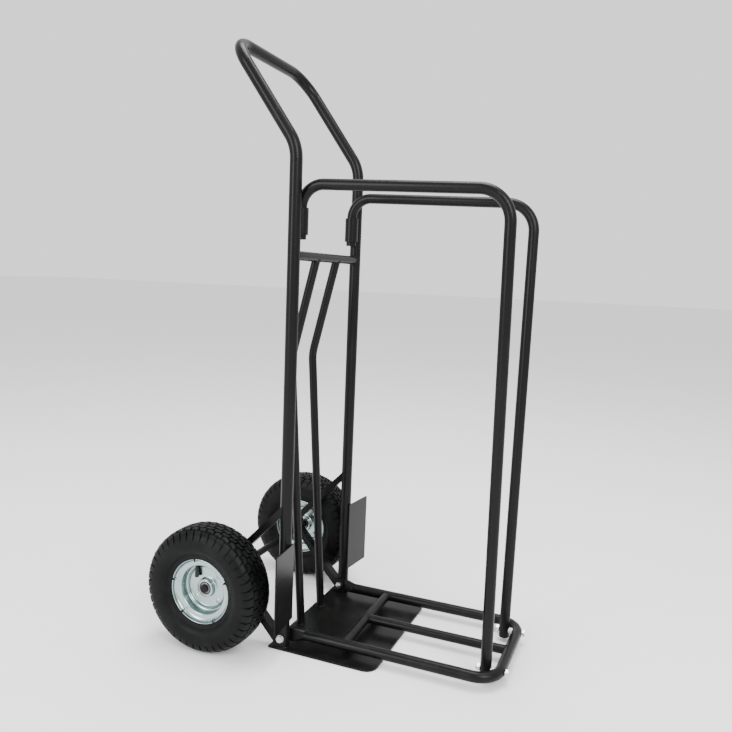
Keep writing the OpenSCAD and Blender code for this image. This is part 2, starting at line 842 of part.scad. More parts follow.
bearing_balls(RIGHT);  // bearing_balls_right
bearing_seals(RIGHT);  // bearing_seals_right
valve_stem(RIGHT);  // valve_stem_right
valve_cap(RIGHT);  // valve_cap_right
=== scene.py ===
import json
import math

import bpy
from mathutils import Matrix, Vector


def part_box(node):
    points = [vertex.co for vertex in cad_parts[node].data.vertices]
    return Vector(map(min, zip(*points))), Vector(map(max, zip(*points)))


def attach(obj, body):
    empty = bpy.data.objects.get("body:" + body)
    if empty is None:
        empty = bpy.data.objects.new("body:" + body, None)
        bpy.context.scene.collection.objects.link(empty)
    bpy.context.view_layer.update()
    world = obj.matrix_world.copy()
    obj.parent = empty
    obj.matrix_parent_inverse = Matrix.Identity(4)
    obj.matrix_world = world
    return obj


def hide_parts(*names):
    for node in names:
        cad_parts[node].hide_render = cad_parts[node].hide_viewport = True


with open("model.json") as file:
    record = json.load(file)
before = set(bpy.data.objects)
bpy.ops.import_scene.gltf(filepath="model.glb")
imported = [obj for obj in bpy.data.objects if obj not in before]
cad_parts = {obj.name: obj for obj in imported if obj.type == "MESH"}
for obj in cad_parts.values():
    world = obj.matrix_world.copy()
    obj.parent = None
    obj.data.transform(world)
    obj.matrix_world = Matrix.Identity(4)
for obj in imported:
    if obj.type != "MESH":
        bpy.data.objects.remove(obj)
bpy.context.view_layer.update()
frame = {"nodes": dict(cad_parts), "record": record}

MM = 0.001
FULL_TURN = 2 * math.pi


# ---------------------------------------------------------------- camera

def place_camera():
    heading, pitch, roll = (math.radians(a) for a in (21.96, -7.13, 2.32))
    ahead = Vector((math.cos(pitch) * math.cos(heading),
                    math.cos(pitch) * math.sin(heading), math.sin(pitch)))
    level = ahead.cross(Vector((0, 0, 1))).normalized()
    right = level * math.cos(roll) + level.cross(ahead) * math.sin(roll)
    up = right.cross(ahead)
    lens = bpy.data.cameras.new("camera")
    lens.lens = 35.77
    lens.sensor_width = 36.0
    camera = bpy.data.objects.new("camera", lens)
    bpy.context.scene.collection.objects.link(camera)
    turn = Matrix((right, up, -ahead)).transposed().to_4x4()
    camera.matrix_world = Matrix.Translation((-1.4172, -0.6707, 0.7724)) @ turn
    bpy.context.scene.camera = camera


# ---------------------------------------------------------------- shader kit

class Field:
    """A shader value that Python's operators can work on."""

    def __init__(self, paint, socket):
        self.paint = paint
        self.socket = socket

    def work(self, operation, first, second):
        node = self.paint.node("ShaderNodeMath", {"operation": operation}, {0: first, 1: second})
        return Field(self.paint, node.outputs[0])

    def __add__(self, other): return self.work("ADD", self, other)
    def __radd__(self, other): return self.work("ADD", other, self)
    def __sub__(self, other): return self.work("SUBTRACT", self, other)
    def __rsub__(self, other): return self.work("SUBTRACT", other, self)
    def __mul__(self, other): return self.work("MULTIPLY", self, other)
    def __rmul__(self, other): return self.work("MULTIPLY", other, self)
    def __pow__(self, other): return self.work("POWER", self, other)

    def above(self, low, high):
        """0 below low, 1 above high, smooth between."""
        node = self.paint.node("ShaderNodeMapRange", {"interpolation_type": "SMOOTHSTEP"},
                               {"Value": self, "From Min": low, "From Max": high})
        return Field(self.paint, node.outputs[0])


class Paint:
    """One material, built round a Principled shader."""

    def __init__(self, name, constants):
        self.material = bpy.data.materials.new(name)
        self.material.use_nodes = True
        self.tree = self.material.node_tree
        self.shader = self.tree.nodes["Principled BSDF"]
        for socket, value in constants.items():
            self.shader.inputs[socket].default_value = value
        self.place = self.node("ShaderNodeTexCoord", {}, {}).outputs["Object"]

    def node(self, kind, settings, inputs):
        node = self.tree.nodes.new(kind)
        for name, value in settings.items():
            setattr(node, name, value)
        for name, value in inputs.items():
            self.feed(node.inputs[name], value)
        return node

    def feed(self, socket, value):
        if isinstance(value, Field):
            value = value.socket
        if isinstance(value, bpy.types.NodeSocket):
            self.tree.links.new(value, socket)
        else:
            socket.default_value = value

    def noise(self, scale, detail=3.0, roughness=0.5, stretch=(1, 1, 1)):
        moved = self.node("ShaderNodeMapping", {}, {"Vector": self.place, "Scale": stretch})
        node = self.node("ShaderNodeTexNoise", {}, {"Vector": moved.outputs[0], "Scale": scale,
                                                    "Detail": detail, "Roughness": roughness})
        return Field(self, node.outputs["Fac"])

    def cells(self, scale):
        node = self.node("ShaderNodeTexVoronoi", {}, {"Vector": self.place, "Scale": scale})
        return Field(self, node.outputs["Distance"])

    def height(self):
        node = self.node("ShaderNodeSeparateXYZ", {}, {0: self.place})
        return Field(self, node.outputs["Z"])

    def mix(self, factor, first, second):
        node = self.node("ShaderNodeMix", {"data_type": "RGBA"}, {"Factor": factor})
        self.feed(node.inputs[6], first)
        self.feed(node.inputs[7], second)
        return node.outputs[2]

    def surface(self, colour, roughness, relief, depth):
        self.feed(self.shader.inputs["Base Color"], colour)
        self.feed(self.shader.inputs["Roughness"], roughness)
        bump = self.node("ShaderNodeBump", {}, {"Height": relief, "Strength": 1.0,
                                                "Distance": depth})
        self.feed(self.shader.inputs["Normal"], bump.outputs[0])
        return self.material


def shade(level, tint=(0, 0, 0)):
    return tuple(level + t for t in tint) + (1.0,)


def black_coat(name, grain):
    """Gloss powder coat with orange peel, handling marks and a little dust low down."""
    paint = Paint(name, {"Specular IOR Level": 0.13})
    clouds = paint.noise(7.0, 4.0)
    marks = paint.noise(60.0, 5.0, 0.6, (1, 1, 0.12)).above(0.60, 0.74)
    dust = (1 - paint.height().above(0.0, 0.16)) * paint.noise(34.0, 5.0, 0.65).above(0.45, 0.75)
    colour = paint.mix(clouds, shade(0.0030, (0.0, 0.0, 0.0004)), shade(0.0060, (0.0004, 0.0003, 0.0)))
    colour = paint.mix(marks * 0.30, colour, shade(0.020, (0.001, 0.0008, 0.0)))
    colour = paint.mix(dust * 0.10, colour, shade(0.040, (0.004, 0.002, -0.004)))
    rough = 0.25 + clouds * 0.07 + marks * 0.12 + dust * 0.08
    peel = paint.noise(420.0, 2.0) * 0.7 + paint.noise(1500.0, 1.0) * grain
    return paint.surface(colour, rough, peel, 0.00002)


def tyre_rubber():
    """Dull moulded rubber with a dusty bloom."""
    paint = Paint("tyre_rubber", {"Specular IOR Level": 0.10})
    bloom = paint.noise(22.0, 5.0, 0.62).above(0.42, 0.72)
    specks = 1 - paint.cells(420.0).above(0.05, 0.16)
    speckled = specks * paint.noise(90.0, 2.0).above(0.52, 0.66)
    colour = paint.mix(bloom, shade(0.0022, (0.0, 0.0003, 0.0002)), shade(0.0062, (0.0, 0.0006, 0.0004)))
    colour = paint.mix(speckled * 0.15, colour, shade(0.07, (0.004, 0.003, -0.003)))
    rough = 0.40 + bloom * 0.16 + speckled * 0.2
    return paint.surface(colour, rough, paint.noise(700.0, 4.0, 0.6), 0.00022)


def plain_rubber():
    paint = Paint("valve_rubber", {"Specular IOR Level": 0.4})
    bloom = paint.noise(120.0, 4.0)
    colour = paint.mix(bloom, shade(0.008), shade(0.02))
    return paint.surface(colour, 0.45 + bloom * 0.2, paint.noise(1200.0, 3.0), 0.0001)


def plated(name, dark, bright, rough, blotch):
    """Zinc or ground steel: a metal with blotches, faint haze and drawing lines."""
    paint = Paint(name, {"Metallic": 1.0})
    haze = paint.noise(blotch, 4.0, 0.6)
    lines = paint.noise(260.0, 3.0, 0.6, (6, 1, 1))
    stains = paint.noise(blotch * 3, 5.0, 0.7).above(0.58, 0.72)
    colour = paint.mix(haze, dark, bright)
    colour = paint.mix(stains * 0.35, colour, tuple(0.55 * c for c in dark[:3]) + (1.0,))
    roughness = rough + haze * 0.12 + stains * 0.18
    return paint.surface(colour, roughness, lines * 0.6 + haze * 0.8, 0.00012)


# ---------------------------------------------------------------- mesh kit

def piece(name, verts, faces, material, body, stands_for=(), crease=35):
    """A mesh piece that rides on a body and may stand for CAD nodes."""
    mesh = bpy.data.meshes.new(name)
    mesh.from_pydata([tuple(v) for v in verts], [], faces)
    mesh.validate()
    mesh.polygons.foreach_set("use_smooth", [True] * len(mesh.polygons))
    mesh.set_sharp_from_angle(angle=math.radians(crease))
    mesh.materials.append(material)
    thing = bpy.data.objects.new(name, mesh)
    bpy.context.scene.collection.objects.link(thing)
    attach(thing, body)
    if stands_for:
        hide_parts(*stands_for)
    return thing


class Shell:
    """Vertices and faces gathered for one piece."""

    def __init__(self):
        self.verts = []
        self.faces = []

    def grid(self, rows, closed_rows=False):
        """Joins rings of equal length, each closed on itself."""
        start = len(self.verts)
        size = len(rows[0])
        for row in rows:
            self.verts.extend(row)
        last = len(rows) if closed_rows else len(rows) - 1
        for j in range(last):
            low, high = start + j * size, start + (j + 1) % len(rows) * size
            for i in range(size):
                n = (i + 1) % size
                self.faces.append((low + i, low + n, high + n, high + i))

    def capped(self, rows):
        start = len(self.verts)
        self.grid(rows)
        size = len(rows[0])
        self.faces.append(tuple(range(start + size - 1, start - 1, -1)))
        top = start + (len(rows) - 1) * size
        self.faces.append(tuple(range(top, top + size)))

    def placed(self, matrix):
        self.verts = [matrix @ Vector(v) for v in self.verts]
        if matrix.determinant() < 0:
            self.faces = [tuple(reversed(f)) for f in self.faces]
        return self

    def take(self, other):
        start = len(self.verts)
        self.verts.extend(other.verts)
        self.faces.extend(tuple(i + start for i in f) for f in other.faces)


def arc(centre, radius, start, end, steps):
    """Points of an arc in a section plane; angles in degrees."""
    return [(centre[0] + radius * math.cos(math.radians(start + (end - start) * k / steps)),
             centre[1] + radius * math.sin(math.radians(start + (end - start) * k / steps)))
            for k in range(steps + 1)]


# ---------------------------------------------------------------- places, in metres

record = frame["record"]
axle_low, axle_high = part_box("axle")
AXLE_Y = (axle_low[1] + axle_high[1]) / 2
AXLE_Z = (axle_low[2] + axle_high[2]) / 2
tyre_low, tyre_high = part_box("tyre_right")
WHEEL_X = (tyre_low[0] + tyre_high[0]) / 2
TYRE_R = (tyre_high[2] - tyre_low[2]) / 2
TYRE_HALF = (tyre_high[0] - tyre_low[0]) / 2
rim_low, rim_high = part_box("rim_outer_right")
FLANGE_R = (rim_high[2] - rim_low[2]) / 2
LIP_X = rim_high[0] - WHEEL_X
LIP_CURL = 10 * MM                 # radius of the rolled rim flange
SEAT_R = FLANGE_R - 15 * MM        # bead seat of the rim
socket_low, socket_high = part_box("hoop_socket_right")
SOCKET_R = (socket_high[0] - socket_low[0]) / 2
SOCKET_X = (socket_high[0] + socket_low[0]) / 2
UPRIGHT_R = 12.5 * MM
UPRIGHT_X = SOCKET_X + SOCKET_R + UPRIGHT_R
bar_low, bar_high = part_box("cross_bar")
BAR_Z = (bar_low[2] + bar_high[2]) / 2
BAR_R = (bar_high[2] - bar_low[2]) / 2
RAIL_BEND_Z = 592 * MM
RAIL_FOOT_Y = 11.3 * MM
cross_low, cross_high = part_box("deck_cross_tube")
CROSS_Y = (cross_low[1] + cross_high[1]) / 2
CROSS_R = (cross_high[1] - cross_low[1]) / 2
DECK_Z = (cross_low[2] + cross_high[2]) / 2
DECK_R = 11 * MM
FRONT_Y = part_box("deck_frame")[0][1] + DECK_R
DECK_X = SOCKET_X + SOCKET_R - DECK_R
middle_low, middle_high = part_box("deck_middle_tube")
MIDDLE_R = (middle_high[0] - middle_low[0]) / 2
toe_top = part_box("toe_plate")[1][2]

SIDES = {"left": -1, "right": 1}


def wheel_place(side):
    """Wheel space, axis X and outboard +X, to the truck."""
    flip = Matrix.Scale(SIDES[side], 4, (1, 0, 0))
    return flip @ Matrix.Translation((WHEEL_X, AXLE_Y, AXLE_Z))


def ring(radius, out, columns, turn=0.0):
    """A circle about the wheel axis, at a distance out from the middle of the wheel."""
    return [(out, radius * math.sin(FULL_TURN * i / columns + turn),
             radius * math.cos(FULL_TURN * i / columns + turn)) for i in range(columns)]


# ---------------------------------------------------------------- tyres

PITCHES = 44
TREAD_DEPTH = 4.2 * MM
# each groove's inner and outer edge from the crown line in mm, and its share of the depth
GROOVES = ((5.0, 7.0, 1), (15.8, 17.8, 1), (27.4, 29.2, 0.7))
GROOVE_WALL = 0.8                  # width of a groove's sloping wall, mm
SHOULDER_ROWS = (33.0, 35.6, 37.2, 38.4)
SHOULDER_END = 38.0                # past here, mm, the slots run out
GROOVE_WAVE = 1.3 * MM             # how far the grooves wander from side to side
SIDEWALL_R = FLANGE_R + 29 * MM    # radius of the widest point of the tyre
SLOT = 0.20                       # lateral slot width, as a share of the pitch
SLOT_EDGE = 0.035
# columns of one pitch: both slot positions, half a pitch apart, fall on columns
PITCH_COLUMNS = [0.0, SLOT_EDGE, SLOT - SLOT_EDGE, SLOT, 0.28, 0.40,
                 0.5, 0.5 + SLOT_EDGE, 0.5 + SLOT - SLOT_EDGE, 0.5 + SLOT, 0.78, 0.90]


def in_slot(share):
    """1 in the floor of a lateral slot, 0 on a block."""
    share = share % 1.0
    rounding = 1e-6
    return 1.0 if SLOT_EDGE - rounding < share < SLOT - SLOT_EDGE + rounding else 0.0


def swell(angle, centre, width, height, power):
    cosine, sine = math.cos(angle), math.sin(angle)
    return (centre + height * math.copysign(abs(sine) ** (2 / power), sine),
            width * abs(cosine) ** (2 / power))


def tread_rows():
    """Rows of the right half of the tyre's outside, crown to bead.

    Each row is (radius, out, groove depth, slot depth, rib number, wobble)."""
    middle = SIDEWALL_R
    crown = TYRE_R - middle
    rows = []
    # distance from the crown line in mm, groove share, rib number
    first = GROOVES[0][0]
    layout = [(0.0, 0, 0), (first - 2 * GROOVE_WALL, 0, 0), (first - GROOVE_WALL, 0, 0)]
    for rib, (start, end, depth) in enumerate(GROOVES):
        layout += [(start, depth, rib), (end, depth, rib + 1)]
        near = end + GROOVE_WALL
        if rib + 1 < len(GROOVES):
            far = GROOVES[rib + 1][0] - GROOVE_WALL
            block = (near, (near + far) / 2, far)
        else:
            block = (near,) + SHOULDER_ROWS
        layout += [(out_mm, 0, rib + 1) for out_mm in block]
    for out_mm, groove, rib in layout:
        out = out_mm * MM
        lift = (1 - (out / TYRE_HALF) ** 3) ** (1 / 3)
        wobble = GROOVE_WAVE if 3.0 < out_mm < 30.0 else 0.0
        slot = 1 if out_mm < SHOULDER_END else 0.85
        rows.append((middle + crown * lift, out, groove, slot, rib, wobble))
    skirt = middle - FLANGE_R - 0.3 * MM
    for degrees in (14, 8, 2, -6, -12, -18, -24, -30, -36, -42):
        power = 3 if degrees > 0 else 2.4
        radius, out = swell(math.radians(degrees), middle, TYRE_HALF, crown if degrees > 0
                            else skirt, power)
        rows.append((radius, out, 0, 0.35 if degrees == 14 else 0, 3, 0.0))
    return rows


def tyre_shell():
    shell = Shell()
    columns = [(p + share) / PITCHES for p in range(PITCHES) for share in PITCH_COLUMNS]

    def row(radius, out, groove, slot, rib, wobble, sign):
        points = []
        for turn in columns:
            place = turn * PITCHES
            offset = 0.5 if rib % 2 else 0.0
            slant = sign * 0.32 * math.sin(math.pi * min(abs(out) / (38 * MM), 1.0))
            drop = max(groove, slot * in_slot(place + offset)) * TREAD_DEPTH
            if sign < 0 and rib == 0 and out == 0:
                drop = groove * TREAD_DEPTH
            angle = FULL_TURN * (turn + slant / PITCHES)
            side = sign * (out + wobble * math.sin(FULL_TURN * place))
            inward = min(abs(out) / TYRE_HALF, 1.0) ** 4
            r = radius - drop * (1 - 0.5 * inward)
            side -= sign * drop * 0.7 * inward
            points.append((side, r * math.sin(angle), r * math.cos(angle)))
        return points

    half = tread_rows()
    right = [row(*r, 1) for r in half]
    left = [row(*r, -1) for r in half[1:]]
    lip = LIP_X
    curl = LIP_CURL
    centre = FLANGE_R - curl
    seat = SEAT_R
    size = len(columns)
    gap = 0.25 * MM
    bead = [(FLANGE_R + gap, lip + 0.6 * MM)]
    bead += [(centre + (curl + gap) * math.sin(math.radians(a)),
              lip - (curl + gap) * math.cos(math.radians(a))) for a in (75, 60, 45, 30, 15, 0)]
    bead += [(seat + gap, lip - curl - gap), (seat + gap, lip - curl - 8 * MM)]
    bore = [(FLANGE_R, lip - curl - 8 * MM), (FLANGE_R + 12 * MM, 34 * MM),
            (FLANGE_R + 29 * MM, 36.5 * MM), (FLANGE_R + 45 * MM, 33 * MM),
            (TYRE_R - 9 * MM, 22 * MM), (TYRE_R - 8 * MM, 0.0)]
    rows = left[::-1] + right
    rows += [ring(r, out, size) for r, out in bead + bore]
    rows += [ring(r, -out, size) for r, out in bore[-2::-1] + bead[::-1]]
    shell.grid([list(r) for r in rows], closed_rows=True)
    return shell


def moulded_line(degrees, width, dashes):
    """A thin raised rib round the sidewall; more than one dash leaves gaps in it."""
    shell = Shell()
    rise, power = (TYRE_R - SIDEWALL_R, 3) if degrees > 0 else (SIDEWALL_R - FLANGE_R, 2.4)
    radius, out = swell(math.radians(degrees), SIDEWALL_R, TYRE_HALF, rise, power)
    out -= 0.5 * width
    broken = dashes > 1
    steps, drawn = (6, 0.62) if broken else (180, 1.0)
    for k in range(dashes):
        rows = []
        for i in range(steps + broken):
            turn = FULL_TURN * (k + drawn * i / steps) / dashes
            section = []
            for a in range(6):
                bend = FULL_TURN * a / 6
                r = radius + width * math.cos(bend)
                section.append((out + 0.5 * width * math.sin(bend),
                                r * math.sin(turn), r * math.cos(turn)))
            rows.append(section)
        if broken:
            shell.capped(rows)
        else:
            shell.grid(rows, closed_rows=True)
    return shell


def make_tyres(material):
    for side in SIDES:
        shell = tyre_shell()
        for degrees, width, dashes in ((9, 0.7, 60), (-3, 0.5, 1), (-27, 0.6, 1)):
            shell.take(moulded_line(degrees, width * MM, dashes))
        shell.placed(wheel_place(side))
        piece("treaded_tyre_" + side, shell.verts, shell.faces, material, side + "_wheel",
              ["tyre_" + side], crease=28)


# ---------------------------------------------------------------- rims, valves

COLUMNS = 240
NOTCHES = (7, 8, 51, 52, 93, 94, 140, 141, 197, 198)     # columns where the flange lip is nicked
SHEET = 2 * MM
NICK = 6.5 * MM                    # depth of a nick


def rim_profile():
    """Closed section of one pressed rim half, as (radius, out)."""
    seat = SEAT_R
    inner = seat - SHEET
    curl = LIP_CURL
    centre = (FLANGE_R - curl, LIP_X)
    cup = 16 * MM
    cup_out = cup + 2.5 * MM
    mouth = 13 * MM
    outside = [(cup - 2.2 * MM, 0.0), (seat - 0.4 * MM, 0.0), (seat, 0.4 * MM),
               (seat, LIP_X - curl - 1.2 * MM)]
    outside += arc((seat + 1.2 * MM, LIP_X - curl - 1.2 * MM), 1.2 * MM, 180, 90, 3)[1:-1]
    outside += arc(centre, curl, -90, 0, 10)
    lip = arc((FLANGE_R - SHEET / 2, LIP_X), SHEET / 2, 0, 180, 5)[1:-1]
    facing = arc(centre, curl - SHEET, 0, -90, 10)
    facing += arc((inner + 3.2 * MM, LIP_X - curl - 1.2 * MM), 3.2 * MM, 90, 180, 5)[1:]
    facing += [(inner, 12 * MM)]
    facing += arc((inner - 3 * MM, 7 * MM), 3 * MM, 0, -90, 5)
    facing += arc((inner - 6 * MM, 2 * MM + 4 * MM), 2 * MM, 90, 180, 3)[1:]
    facing += arc((inner - 10 * MM, 4 * MM), 2 * MM, 0, -90, 4)
    facing += arc((cup_out + 3 * MM, 5 * MM), 3 * MM, -90, -180, 5)
    facing += arc((cup_out - 1.0 * MM, mouth - 1.0 * MM), 1.0 * MM, 0, 90, 4)
    facing += [(cup + 0.4 * MM, mouth), (cup, mouth - 0.5 * MM), (cup, SHEET),
               (cup - 2.2 * MM, SHEET)]
    return outside + lip + facing


def rim_shell():
    """One rim half turned round the axle, with its lip nicked."""
    shell = Shell()
    rows = []
    for radius, out in rim_profile():
        points = []
        for i in range(COLUMNS):
            nick = i in NOTCHES and radius > FLANGE_R - NICK
            r = FLANGE_R - NICK - 0.02 * (FLANGE_R - radius) if nick else radius
            turn = FULL_TURN * i / COLUMNS
            points.append((out, r * math.sin(turn), r * math.cos(turn)))
        rows.append(points)
    shell.grid(rows, closed_rows=True)
    return shell


def make_rims(material):
    for side in SIDES:
        outer = rim_shell().placed(wheel_place(side))
        piece("pressed_rim_outer_" + side, outer.verts, outer.faces, material, side + "_wheel",
              ["rim_outer_" + side], crease=50)
        inner = rim_shell().placed(wheel_place(side) @ Matrix.Scale(-1, 4, (1, 0, 0)))
        piece("pressed_rim_inner_" + side, inner.verts, inner.faces, material, side + "_wheel",
              ["rim_inner_" + side], crease=50)


def lathe_z(profile, columns, ribs=0, rib_depth=0.0):
    """Turned piece about Z from (radius, height) points, with optional lengthwise ribs."""
    shell = Shell()
    rows = []
    for radius, height in profile:
        ring_points = []
        for i in range(columns):
            turn = FULL_TURN * i / columns
            r = radius - (rib_depth if ribs and math.cos(ribs * turn) < 0 else 0)
            ring_points.append((r * math.cos(turn), r * math.sin(turn), height))
        rows.append(ring_points)
    shell.capped(rows)
    return shell


def make_valves(material):
    """Ribbed rubber stem and knurled cap, hanging into the rim dish."""
    for side in SIDES:
        low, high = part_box("valve_stem_" + side)
        cap_low, cap_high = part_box("valve_cap_" + side)
        centre_x = (low[0] + high[0]) / 2
        centre_y = (low[1] + high[1]) / 2
        radius = (high[0] - low[0]) / 2
        stem = Shell()
        profile = [(radius * 0.7, low[2])]
        rings = 7
        step = (high[2] - low[2]) * 0.42 / rings
        for k in range(rings):
            base = low[2] + k * step
            profile += [(radius * 0.78, base), (radius * 0.78, base + 0.35 * step),
                        (radius * 0.98, base + 0.45 * step), (radius * 0.98, base + 0.9 * step)]
        profile += [(radius, low[2] + rings * step), (radius, high[2] - 1 * MM),
                    (radius * 0.8, high[2])]
        stem.take(lathe_z(profile, 32))
        place = Matrix.Translation((centre_x, centre_y, 0))
        stem.placed(place)
        piece("ribbed_valve_stem_" + side, stem.verts, stem.faces, material, side + "_wheel",
              ["valve_stem_" + side])
        cap_r = (cap_high[0] - cap_low[0]) / 2
        tall = cap_high[2] - cap_low[2]
        cap = lathe_z([(cap_r * 0.55, cap_low[2]), (cap_r * 0.85, cap_low[2] + 0.06 * tall),
                       (cap_r * 0.99, cap_low[2] + 0.2 * tall), (cap_r * 0.99, cap_low[2] + 0.8 * tall),
                       (cap_r * 0.86, cap_high[2] - 0.06 * tall), (cap_r * 0.86, cap_high[2])],
                      64, ribs=16, rib_depth=0.4 * MM)
        cap.placed(place)
        piece("knurled_valve_cap_" + side, cap.verts, cap.faces, material, side + "_wheel",
              ["valve_cap_" + side])


# ---------------------------------------------------------------- bolts and nuts

BOLT_R = 4 * MM
FLATS = 6.5 * MM
PITCH = 1.25 * MM
HEAD_TALL = 5.3 * MM
NUT_TALL = 6.5 * MM
BOLT_STANDS_OUT = 2.5 * MM          # past the face of a deck nut


def hex_radius(turn):
    """Distance from the axis to the flats of a hexagon, along a direction."""
    sixth = FULL_TURN / 6
    return FLATS / math.cos((turn + sixth / 2) % sixth - sixth / 2)


def hex_body(height, both_ends, bore=0.0, columns=48):
    """Hexagon with 30 degree chamfers, from z 0 to height, open round a bore."""
    shell = Shell()
    face_r = FLATS * 0.96
    drop = math.tan(math.radians(30))

    def circle(radius, z):
        return [(radius * math.cos(FULL_TURN * i / columns),
                 radius * math.sin(FULL_TURN * i / columns), z) for i in range(columns)]

    def hexagon(z, slope):
        out = []
        for i in range(columns):
            turn = FULL_TURN * i / columns
            r = hex_radius(turn)
            out.append((r * math.cos(turn), r * math.sin(turn), z - slope * (r - face_r) * drop))
        return out

    rows = [circle(face_r, 0.0), hexagon(0.0, -1 if both_ends else 0), hexagon(height, 1),
            circle(face_r, height)]
    if bore:
        rows += [circle(bore + 0.5 * MM, height), circle(bore, height - 0.5 * MM),
                 circle(bore, 0.5 * MM), circle(bore + 0.5 * MM, 0.0)]
        shell.grid(rows, closed_rows=True)
    else:
        rows += [circle(face_r * 0.72, height), circle(face_r * 0.68, height - 0.25 * MM)]
        shell.capped(rows)
    return shell


def threaded_shank(length, thread_from):
    """Shank up to length, with a rolled thread past thread_from and a chamfered tip."""
    columns, steps = 28, 5
    rows = [[(BOLT_R * 0.96 * math.cos(FULL_TURN * i / columns),
              BOLT_R * 0.96 * math.sin(FULL_TURN * i / columns), z) for i in range(columns)]
            for z in (0.0, thread_from)]
    count = int((length - thread_from) / PITCH * steps)
    for k in range(1, count + 1):
        z = thread_from + (length - thread_from) * k / count
        taper = min(1.0, 0.80 + (length - z) / (2.2 * MM))
        ring_points = []
        for i in range(columns):
            phase = (z / PITCH - i / columns) % 1.0
            tooth = abs(2 * phase - 1)
            r = min(BOLT_R * (0.86 + 0.14 * tooth), BOLT_R * taper)
            turn = FULL_TURN * i / columns
            ring_points.append((r * math.cos(turn), r * math.sin(turn), z))
        rows.append(ring_points)
    shell = Shell()
    shell.capped(rows)
    return shell


def bolt_shell(length, thread_from):
    shell = hex_body(HEAD_TALL, False).placed(Matrix.Scale(-1, 4, (0, 0, 1)))
    shell.take(threaded_shank(length, thread_from))
    return shell


def along(axis, sign):
    """Turns +Z to point along an axis of the truck."""
    target = Vector([sign if a == axis else 0 for a in range(3)])
    return Vector((0, 0, 1)).rotation_difference(target).to_matrix().to_4x4()


def make_fasteners(material):
    bolts_low, bolts_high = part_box("hoop_bolts")
    nuts_low, nuts_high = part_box("hoop_nuts")
    foot_x = bolts_high[0] - FLATS / math.cos(math.radians(30))
    seat = bolts_low[1] + HEAD_TALL
    hoop_bolts, hoop_nuts = Shell(), Shell()
    for sign in SIDES.values():
        place = Matrix.Translation((sign * foot_x, seat, DECK_Z)) @ along(1, 1)
        reach = bolts_high[1] - seat
        hoop_bolts.take(bolt_shell(reach, nuts_low[1] - seat - 4 * MM).placed(place))
        nut = hex_body(nuts_high[1] - nuts_low[1], True, BOLT_R)
        hoop_nuts.take(nut.placed(Matrix.Translation((sign * foot_x, nuts_low[1], DECK_Z))
                                  @ along(1, 1)))
    piece("hex_hoop_bolts", hoop_bolts.verts, hoop_bolts.faces, material, "frame",
          ["hoop_bolts"])
    piece("hex_hoop_nuts", hoop_nuts.verts, hoop_nuts.faces, material, "frame",
          ["hoop_nuts"])
    nut_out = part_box("deck_nuts")[1][0]
    deck_bolts, deck_nuts = Shell(), Shell()
    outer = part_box("deck_washers")[1][0]
    tip = nut_out - NUT_TALL - BOLT_STANDS_OUT
    for sign in SIDES.values():
        place = Matrix.Translation((sign * outer, 0, DECK_Z)) @ along(0, -sign)
        deck_bolts.take(bolt_shell(outer - tip, outer - tip - 14 * MM).placed(place))
        nut = hex_body(NUT_TALL, True, BOLT_R)
        deck_nuts.take(nut.placed(Matrix.Translation((sign * nut_out, 0, DECK_Z))
                                  @ along(0, -sign)))
    piece("hex_deck_bolts", deck_bolts.verts, deck_bolts.faces, material, "frame",
          ["deck_bolts"])
    piece("hex_deck_nuts", deck_nuts.verts, deck_nuts.faces, material, "frame",
          ["deck_nuts"])


# ---------------------------------------------------------------- weld beads

def bead(points, radius, closed):
    """A rippled weld bead laid along points."""
    dense = []
    count = len(points)
    for k in range(count if closed else count - 1):
        a, b = Vector(points[k]), Vector(points[(k + 1) % count])
        parts = max(1, round((b - a).length / (0.9 * MM)))
        dense += [a.lerp(b, j / parts) for j in range(parts)]
    if not closed:
        dense.append(Vector(points[-1]))
    shell = Shell()
    rows = []
    travelled = 0.0
    total = len(dense)
    side = None
    for k, point in enumerate(dense):
        before = dense[k - 1] if closed or k else dense[0]
        after = dense[(k + 1) % total] if closed or k < total - 1 else dense[-1]
        run = (after - before).normalized()
        side = (side - run * side.dot(run)).normalized() if side else run.orthogonal().normalized()
        other = run.cross(side)
        travelled += (point - before).length
        wave = travelled / (2.4 * MM)
        size = radius * (0.9 + 0.16 * abs(math.sin(math.pi * wave)) + 0.08 * math.sin(1.7 * wave))
        if not closed:
            size *= min(1.0, 0.45 + 0.25 * min(k, total - 1 - k))
        rows.append([tuple(point + side * size * math.cos(FULL_TURN * a / 8)
                           + other * size * math.sin(FULL_TURN * a / 8)) for a in range(8)])
    if closed:
        shell.grid(rows, closed_rows=True)
    else:
        shell.capped(rows)
    return shell


def tube_meeting(start, run, radius, axis_point, axis, big_radius, steps=28):
    """Where a tube that comes from start along run meets a larger round bar."""
    run, axis = Vector(run).normalized(), Vector(axis).normalized()
    side = run.orthogonal().normalized()
    other = run.cross(side)
    points = []
    flat_run = run - axis * run.dot(axis)
    for k in range(steps):
        turn = FULL_TURN * k / steps
        at = Vector(start) + side * radius * math.cos(turn) + other * radius * math.sin(turn)
        offset = at - Vector(axis_point)
        offset -= axis * offset.dot(axis)
        a, b = flat_run.dot(flat_run), 2 * offset.dot(flat_run)
        c = offset.dot(offset) - big_radius ** 2
        root = max(b * b - 4 * a * c, 0.0) ** 0.5
        points.append(at + run * ((-b - root) / (2 * a)))
    return points


def foot_circle(centre, radius, steps=28):
    """Points round the foot of an upright tube."""
    return [Vector((centre[0] + radius * math.cos(FULL_TURN * k / steps),
                    centre[1] + radius * math.sin(FULL_TURN * k / steps),
                    centre[2])) for k in range(steps)]


